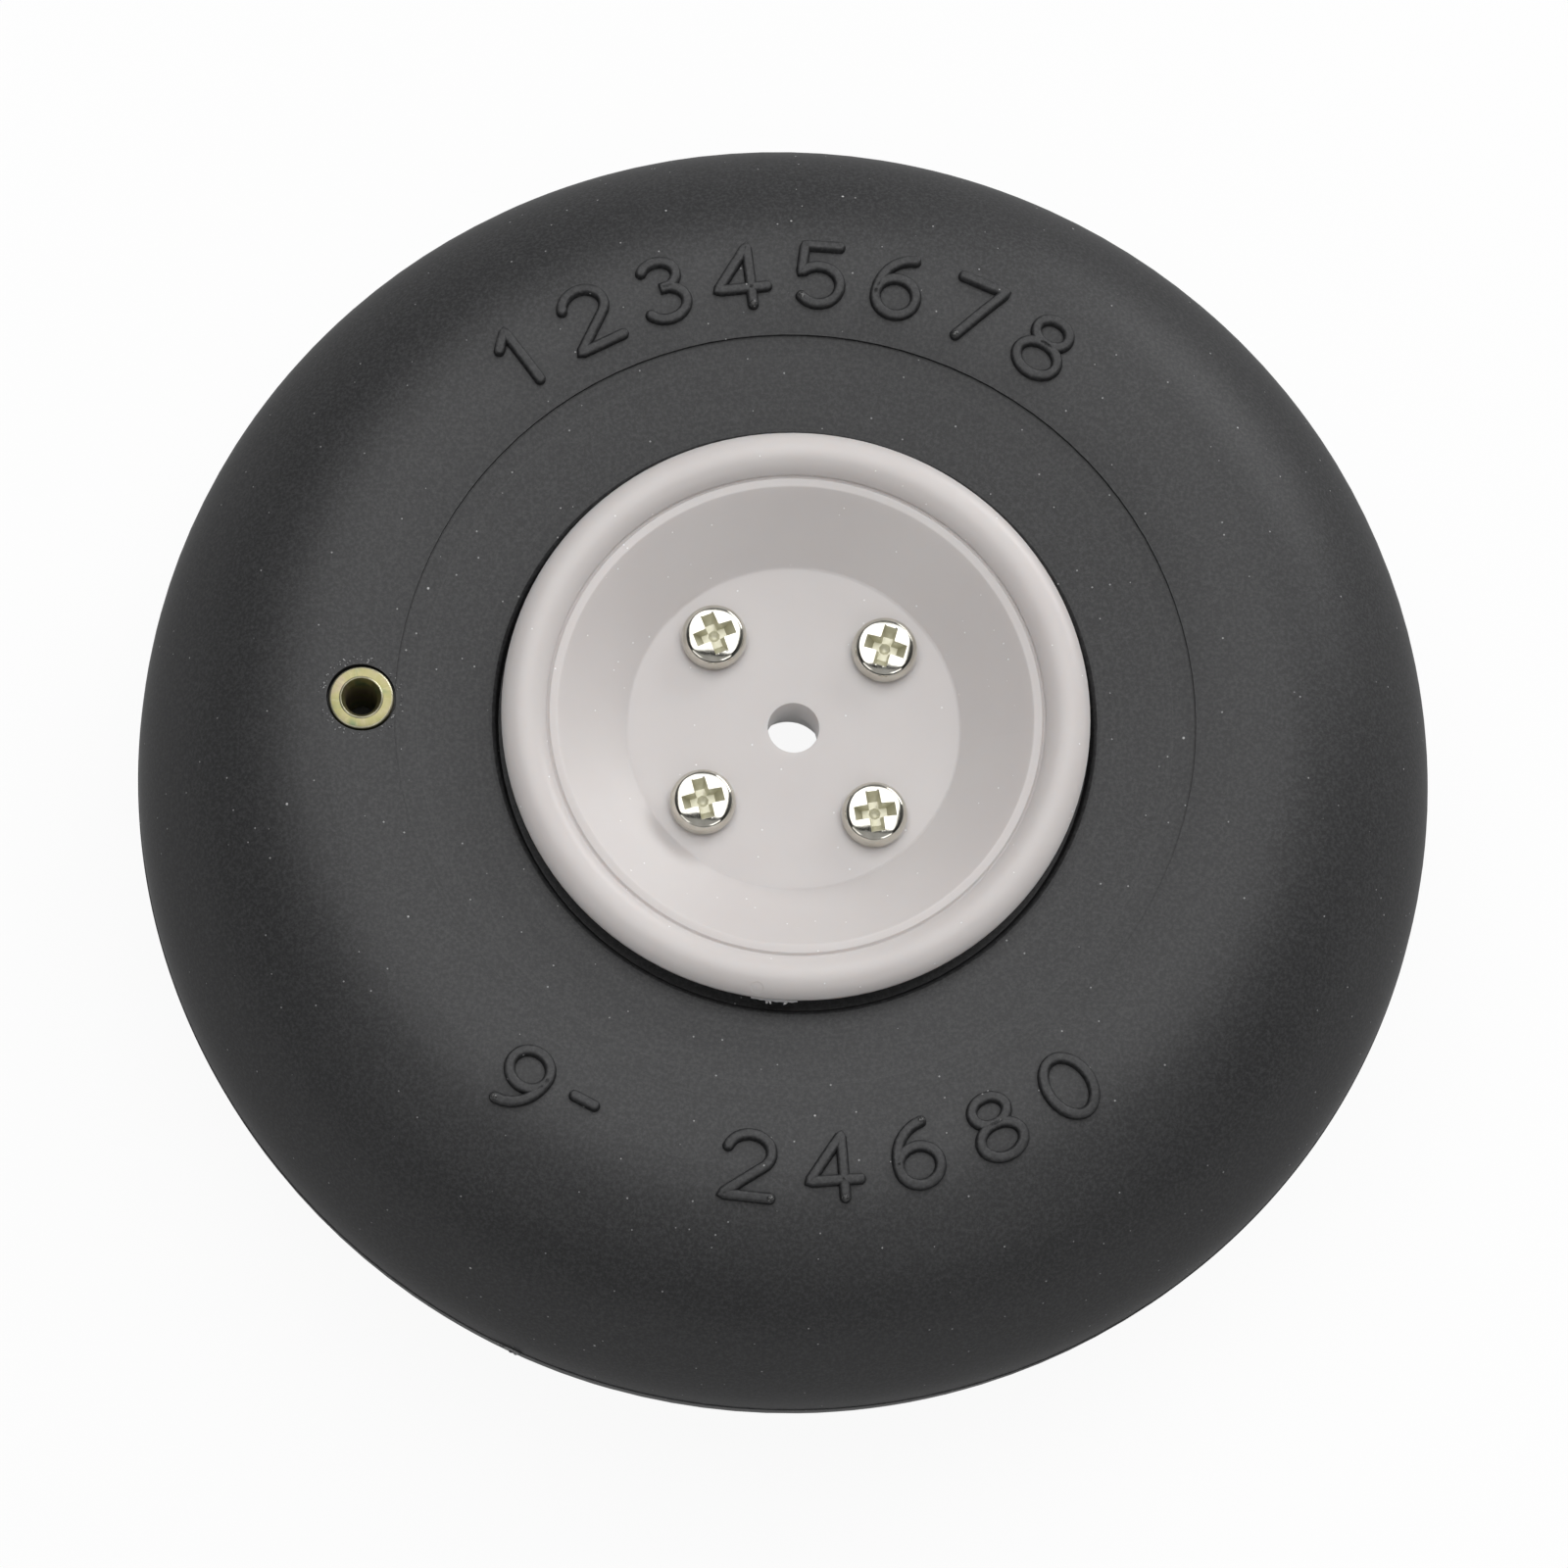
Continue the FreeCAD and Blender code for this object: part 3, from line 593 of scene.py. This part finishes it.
def add_character(name, digit, azimuth, upward, ground, material):
    """One raised character: its tops point outwards for upward 1, and to the hub for -1."""
    centre, reading, tops = character_frame(azimuth, upward)
    bm = bmesh.new()
    for stroke in digit_strokes(digit):
        flat = [(x * TEXT_HEIGHT, (y - 0.5) * TEXT_HEIGHT) for x, y in stroke]
        rows, closed = stroke_rows(even_steps(flat, STROKE_STEP))
        rings = []
        for row in rows:
            spots = [(centre + reading * place.x + tops * place.y, height)
                     for place, height in row]
            rings.append([bm.verts.new(ground.lift(spot.x * MM, spot.y * MM, height * MM))
                          for spot, height in spots])
        join_rings(bm, rings, closed_along=closed)
    bmesh.ops.remove_doubles(bm, verts=bm.verts, dist=STROKE_MERGE)
    return add_object(name, smooth_mesh(bm, name, crease=80), material)


def stroke_end(digit, last, azimuth, upward):
    """Where a character's last stroke ends, or starts, on the sidewall, in millimetres."""
    centre, reading, tops = character_frame(azimuth, upward)
    stroke = digit_strokes(digit)[-1]
    x, y = stroke[-1] if last else stroke[0]
    return centre + reading * x * TEXT_HEIGHT + tops * (y - 0.5) * TEXT_HEIGHT


def lumpy_ball(bm, place, sizes, rng, rough=0.25):
    """A small uneven lump round a place in metres."""
    made = bmesh.ops.create_icosphere(bm, subdivisions=2, radius=1.0)
    turn = Matrix.Rotation(rng.uniform(0, math.tau), 3, "Z")
    for vert in made["verts"]:
        size = 1 + rng.uniform(-rough, rough)
        local = Vector((vert.co.x * sizes[0], vert.co.y * sizes[1], vert.co.z * sizes[2])) * size
        vert.co = place + turn @ local


def add_nibs(ground, material):
    """Torn ends of mould vents, on some of the strokes."""
    rng = random.Random(NIB_SEED)
    bm = bmesh.new()
    for row, nibs, upward in ((UPPER_ROW, UPPER_NIBS, 1), (LOWER_ROW, LOWER_NIBS, -1)):
        for index, last in nibs:
            digit, azimuth = row[index]
            spot = stroke_end(digit, last, azimuth, upward)
            place = ground.lift(spot.x * MM, spot.y * MM, NIB_LIFT)
            lumpy_ball(bm, place, NIB_SIZES, rng, NIB_ROUGHNESS)
    return add_object("vent_nibs", smooth_mesh(bm, "vent_nibs", crease=80), material)


def add_valve_crumbs(ground, box, material):
    """Rubber flash round the valve's seat."""
    rng = random.Random(CRUMB_SEED)
    centre = Vector(box_middle(box))
    bm = bmesh.new()
    for _ in range(CRUMB_COUNT):
        turn = rng.uniform(0, math.tau)
        distance = rng.uniform(*CRUMB_DISTANCES) * MM
        spot = centre + Vector((math.cos(turn), math.sin(turn))) * distance
        size = rng.uniform(*CRUMB_SIZES) * MM
        place = ground.lift(spot.x, spot.y, size * CRUMB_LIFT)
        lumpy_ball(bm, place, (size * rng.uniform(*CRUMB_LENGTHS), size, size), rng)
    mesh = smooth_mesh(bm, "valve_flash", crease=80)
    return add_object("valve_flash", mesh, material)


def arc_band(bm, radius, stretch, section, swell, steps):
    """Rings along a stretch of a circle about Z. The section grows with swell."""
    low, high = stretch
    rings = []
    for step in range(steps + 1):
        out = compass(low + (high - low) * step / steps)
        size = swell(step / steps)
        rings.append([bm.verts.new(out * (radius + rise * (size if rise > 0 else 1) * MM)
                                   + Vector((0, 0, height * size * MM)))
                      for rise, height in section])
    return rings


def add_parting_line(radius, material):
    """The mould's parting line: a fine ridge round the tread."""
    bm = bmesh.new()
    rings = arc_band(bm, radius, (0, 360), RIDGE_SECTION, lambda share: 1, RIDGE_STEPS)
    join_rings(bm, rings[:-1], closed_along=True)
    bmesh.ops.delete(bm, geom=rings[-1], context="VERTS")
    mesh = smooth_mesh(bm, "parting_line", crease=60)
    return add_object("parting_line", mesh, material)


def fin_swell(share):
    """The fin grows along its length, wavers, and ends in a tear."""
    return max(0.05, share ** 0.7 * (1 - share ** 12)) * (0.9 + 0.1 * math.sin(share * 40))


def add_flash_fin(radius, material):
    """A thin torn fin of flash on the parting line."""
    bm = bmesh.new()
    join_capped(bm, arc_band(bm, radius, FIN_STRETCH, FIN_SECTION, fin_swell, FIN_STEPS))
    return add_object("flash_fin", smooth_mesh(bm, "flash_fin", crease=60), material)


def gate_swell(share):
    """The sliver is thickest past its middle, with an uneven edge."""
    return 0.55 + 0.45 * math.sin(share * 2.6) + 0.12 * math.sin(share * 37)


def add_gate_mark(lip, material):
    """The torn gate on the rim's edge: a sliver with crumbs. The lip is (radius, height)."""
    radius, height = lip
    rng = random.Random(GATE_SEED)
    bm = bmesh.new()
    join_capped(bm, arc_band(bm, radius, GATE_STRETCH, GATE_SECTION, gate_swell, GATE_STEPS))
    bmesh.ops.translate(bm, verts=bm.verts, vec=(0, 0, height))
    for azimuth in GATE_CRUMBS:
        place = (compass(azimuth) * (radius + GATE_CRUMB_OUT)
                 + Vector((0, 0, height - GATE_CRUMB_DROP)))
        lumpy_ball(bm, place, GATE_CRUMB_SIZES, rng, GATE_CRUMB_ROUGHNESS)
    return add_object("gate_mark", smooth_mesh(bm, "gate_mark", crease=50), material)


def add_valve_bush(box, material):
    """The flanged bush with its eased edges, raised mouth and barbed tube."""
    bm = lathe(VALVE_SECTION, LATHE_SIDES)
    bmesh.ops.scale(bm, verts=bm.verts, vec=(MM, MM, MM))
    mesh = smooth_mesh(bm, "valve_bush", crease=30)
    piece = add_object("valve_bush", mesh, material)
    piece.location = (*box_middle(box), box[1][2])
    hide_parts("valve_insert")


def cross_punch():
    """The punch that makes the cross recess: two tapered blades and a pointed middle."""
    bm = bmesh.new()
    for turn in (0, math.pi / 2):
        rings = []
        for half_length, half_width, height in PUNCH_BLADE:
            spots = [(-half_length, -half_width), (half_length, -half_width),
                     (half_length, half_width), (-half_length, half_width)]
            rings.append([bm.verts.new(Matrix.Rotation(turn, 3, "Z") @ Vector((x, y, height)))
                          for x, y in spots])
        join_capped(bm, rings)
    return solid_mesh(bm, "blades"), solid_mesh(lathe(PUNCH_MIDDLE, PUNCH_SIDES), "middle")


def cut_with(target, meshes):
    """The target's mesh after the given solids are taken from it, with its edges eased."""
    cutters = []
    for mesh in meshes:
        cutter = bpy.data.objects.new("cutter", mesh)
        bpy.context.collection.objects.link(cutter)
        cutters.append(cutter)
        cut = target.modifiers.new("cut", "BOOLEAN")
        cut.operation, cut.object, cut.solver = "DIFFERENCE", cutter, "EXACT"
        cut.use_self = True
    ease = target.modifiers.new("ease", "BEVEL")
    ease.width, ease.segments = EASE_WIDTH, EASE_SEGMENTS
    ease.limit_method, ease.angle_limit = "ANGLE", math.radians(EASE_ANGLE)
    graph = bpy.context.evaluated_depsgraph_get()
    done = bpy.data.meshes.new_from_object(target.evaluated_get(graph))
    for leftover in cutters + [target]:
        bpy.data.objects.remove(leftover)
    return done


def threaded_shank(bm, length):
    """A shank whose surface rises and falls as a screw thread over its lower part."""
    count = round(THREAD_RUN / THREAD_PITCH * THREAD_ROWS)
    rings = []
    for row in range(count + 1):
        height = -length + THREAD_RUN * row / count
        ring = []
        for side in range(SHANK_SIDES):
            phase = (height / THREAD_PITCH - side / SHANK_SIDES) % 1
            depth = max(THREAD_DEPTH * abs(2 * phase - 1),
                        THREAD_DEPTH * (1 - (height + length) / TIP_CHAMFER))
            turn = math.tau * side / SHANK_SIDES
            spot = SHANK_RADIUS - depth
            ring.append(bm.verts.new((spot * math.cos(turn), spot * math.sin(turn), height)))
        rings.append(ring)
    for height in (-length + THREAD_RUN + THREAD_FADE, HEAD_OVERLAP):
        rings.append(circle(bm, SHANK_RADIUS, height, SHANK_SIDES))
    join_capped(bm, rings)


def head_height(radius):
    """Height of the uncut head at this radius, over its face and shoulder."""
    upper = HEAD_SECTION[HEAD_WIDEST:]
    for (outer, low), (inner, high) in zip(upper, upper[1:]):
        if inner <= radius <= outer:
            return low + (high - low) * (outer - radius) / (outer - inner)
    return upper[0][1]


def in_recess(middle):
    """Whether a face with this middle lies in the recess."""
    radius = math.hypot(middle.x, middle.y)
    return RECESS_FLOOR < middle.z < head_height(radius) - RECESS_DEPTH and radius < RECESS_REACH


def screw_mesh(length):
    """A pan-head screw in metres, its seat at nought, the recess in the second material."""
    head = solid_mesh(lathe([(0.0, 0.0)] + HEAD_SECTION, LATHE_SIDES), "head")
    target = bpy.data.objects.new("head", head)
    bpy.context.collection.objects.link(target)
    done = cut_with(target, cross_punch())
    bm = bmesh.new()
    bm.from_mesh(done)
    threaded_shank(bm, length)
    for face in bm.faces:
        face.material_index = int(in_recess(face.calc_center_median()))
    bmesh.ops.scale(bm, verts=bm.verts, vec=(MM, MM, MM))
    return smooth_mesh(bm, "pan_head_screw", crease=38)


def add_screws(plain, box, bright, dull):
    """Four screws in place of the plain ones, each cross turned its own way."""
    low, high = box
    seat = high[2] - HEAD_SEAT * MM
    spots = [vertex.co for vertex in plain.data.vertices]
    mesh = screw_mesh((seat - low[2]) / MM)
    mesh.materials.append(bright)
    mesh.materials.append(dull)
    for name, turn in SCREW_TURNS.items():
        own = [spot for spot in spots
               if (spot.x > 0) == ("right" in name) and (spot.y > 0) == ("upper" in name)]
        x, y = middle_of([spot.x for spot in own]), middle_of([spot.y for spot in own])
        piece = add_object("screw_" + name, mesh, bright)
        piece.matrix_world = (Matrix.Translation((x, y, seat))
                              @ Matrix.Rotation(math.radians(turn), 4, "Z"))
        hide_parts("hub_screws")


def dress(piece, material):
    """Give a CAD node its material."""
    for slot in piece.material_slots:
        slot.material = material
    if not piece.material_slots:
        piece.data.materials.append(material)


def add_floor(height):
    """A white floor that keeps the wheel's shadow."""
    far = FLOOR_REACH
    mesh = bpy.data.meshes.new("floor")
    mesh.from_pydata([(-far, -far, height), (far, -far, height), (far, far, height),
                      (-far, far, height)], [], [(0, 1, 2, 3)])
    floor = bpy.data.objects.new("floor", mesh)
    bpy.context.collection.objects.link(floor)
    nodes = Nodes("floor_white")
    path = nodes.add("LightPath")
    seen = nodes.maths("MAXIMUM", path.outputs["Is Camera Ray"], path.outputs["Is Glossy Ray"])
    seen = nodes.maths("MAXIMUM", seen, path.outputs["Is Transmission Ray"])
    pale = nodes.between(seen, 0.0, 1.0, *FLOOR_PALENESS)
    diffuse = nodes.add("BsdfDiffuse", {"Color": nodes.join(pale, pale, pale)})
    glow = nodes.add("Emission", {"Color": (1.0, 1.0, 1.0, 1.0), "Strength": 1.0})
    share = nodes.maths("MULTIPLY", seen, FLOOR_GLOW)
    mix = nodes.add("MixShader", {0: share, 1: diffuse.outputs[0], 2: glow.outputs[0]})
    mesh.materials.append(nodes.finish(mix.outputs[0]))


def add_lamp(name, azimuth, elevation, size, level):
    """A soft lamp aimed at the wheel. Its level is the share of plain light that it gives."""
    azimuth, elevation = math.radians(azimuth), math.radians(elevation)
    place = Vector((math.cos(azimuth) * math.cos(elevation),
                    math.sin(azimuth) * math.cos(elevation), math.sin(elevation))) * LAMP_DISTANCE
    data = bpy.data.lights.new(name, "AREA")
    data.shape = "RECTANGLE"
    data.size, data.size_y = size
    data.energy = level * math.pi ** 2 * LAMP_DISTANCE ** 2
    lamp = bpy.data.objects.new(name, data)
    bpy.context.collection.objects.link(lamp)
    lamp.location = place
    lamp.rotation_euler = (-place).to_track_quat("-Z", "Y").to_euler()


def add_camera():
    azimuth = math.radians(CAMERA_AZIMUTH)
    elevation = math.radians(CAMERA_ELEVATION)
    roll = math.radians(CAMERA_ROLL)
    back = Vector((math.sin(azimuth) * math.cos(elevation),
                   -math.cos(azimuth) * math.cos(elevation), math.sin(elevation)))
    flat = Vector((math.cos(azimuth), math.sin(azimuth), 0))
    tall = back.cross(flat)
    right = flat * math.cos(roll) + tall * math.sin(roll)
    up = tall * math.cos(roll) - flat * math.sin(roll)
    turn = Matrix((right, up, back)).transposed()
    data = bpy.data.cameras.new("camera")
    data.lens = CAMERA_LENS
    camera = bpy.data.objects.new("camera", data)
    bpy.context.collection.objects.link(camera)
    place = back * CAMERA_DISTANCE - up * CAMERA_DROP + right * CAMERA_ASIDE
    camera.matrix_world = Matrix.Translation(place) @ turn.to_4x4()
    bpy.context.scene.camera = camera


def add_world():
    """A pale room with one dim quarter, over the near side of the wheel, white to the camera."""
    world = bpy.data.worlds.new("studio")
    bpy.context.scene.world = world
    world.use_nodes = True
    tree = world.node_tree
    tree.nodes.clear()

    def add(kind, **settings):
        node = tree.nodes.new("ShaderNode" + kind)
        for name, value in settings.items():
            setattr(node, name, value)
        return node

    direction = add("TexCoord").outputs["Generated"]
    dim = add("VectorMath", operation="DOT_PRODUCT")
    tree.links.new(direction, dim.inputs[0])
    dim.inputs[1].default_value = Vector(DIM_QUARTER).normalized()
    fade = add("MapRange", interpolation_type="SMOOTHSTEP")
    tree.links.new(dim.outputs["Value"], fade.inputs[0])
    for index, value in enumerate((*DIM_COSINES, *ROOM_LEVELS), start=1):
        fade.inputs[index].default_value = value
    path = add("LightPath")
    strength = add("Mix", data_type="FLOAT")
    tree.links.new(path.outputs["Is Camera Ray"], strength.inputs[0])
    tree.links.new(fade.outputs[0], strength.inputs[2])
    strength.inputs[3].default_value = 1.0
    background = add("Background")
    background.inputs["Color"].default_value = (1.0, 1.0, 1.0, 1.0)
    tree.links.new(strength.outputs[0], background.inputs["Strength"])
    tree.links.new(background.outputs[0], add("OutputWorld").inputs["Surface"])


def build():
    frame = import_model()
    cad_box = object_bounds()
    bpy.context.scene.view_settings.view_transform = "Standard"

    rubber = rubber_material()
    turn = math.radians(DIMPLE_AZIMUTH)
    rim = Ground(frame["nodes"]["hub_front"])
    dimple = rim.lift(DIMPLE_RADIUS * math.cos(turn), DIMPLE_RADIUS * math.sin(turn), 0.0)
    plastic = plastic_material(dimple)
    nickel = plated_material("screw_steel", (0.62, 0.60, 0.53), (0.74, 0.72, 0.65),
                             roughness=0.05, ripple=0.25)
    recess = plated_material("screw_recess", (0.60, 0.58, 0.43), (0.74, 0.72, 0.58),
                             roughness=0.34, ripple=0.4, metallic=0.4)
    nut_steel = plated_material("nut_steel", (0.52, 0.51, 0.47), (0.64, 0.62, 0.58),
                                roughness=0.18, ripple=0.1)
    for node, material in (("tyre", rubber), ("hub_front", plastic), ("hub_rear", plastic),
                           ("hub_nuts", nut_steel), ("valve_plug", rubber)):
        dress(frame["nodes"][node], material)

    ground = Ground(frame["nodes"]["tyre"])
    for place, row, upward in (("upper", UPPER_ROW, 1), ("lower", LOWER_ROW, -1)):
        for digit, azimuth in row:
            name = f"mark_{place}_{round(azimuth % 360)}"
            add_character(name, digit, azimuth, upward, ground, rubber)
    add_nibs(ground, nib_material())
    crumbs = crumb_material()
    add_valve_crumbs(ground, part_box("valve_insert"), crumbs)
    add_valve_bush(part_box("valve_insert"), zinc_material())
    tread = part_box("tyre")[1][0]
    add_parting_line(tread, rubber)
    add_flash_fin(tread, crumbs)
    add_gate_mark((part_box("hub_front")[1][0], GATE_HEIGHT), plastic)
    add_screws(frame["nodes"]["hub_screws"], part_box("hub_screws"), nickel, recess)

    lowest, _ = cad_box
    add_floor(lowest[2])
    for lamp in LAMPS:
        add_lamp(*lamp)
    add_world()
    add_camera()


build()
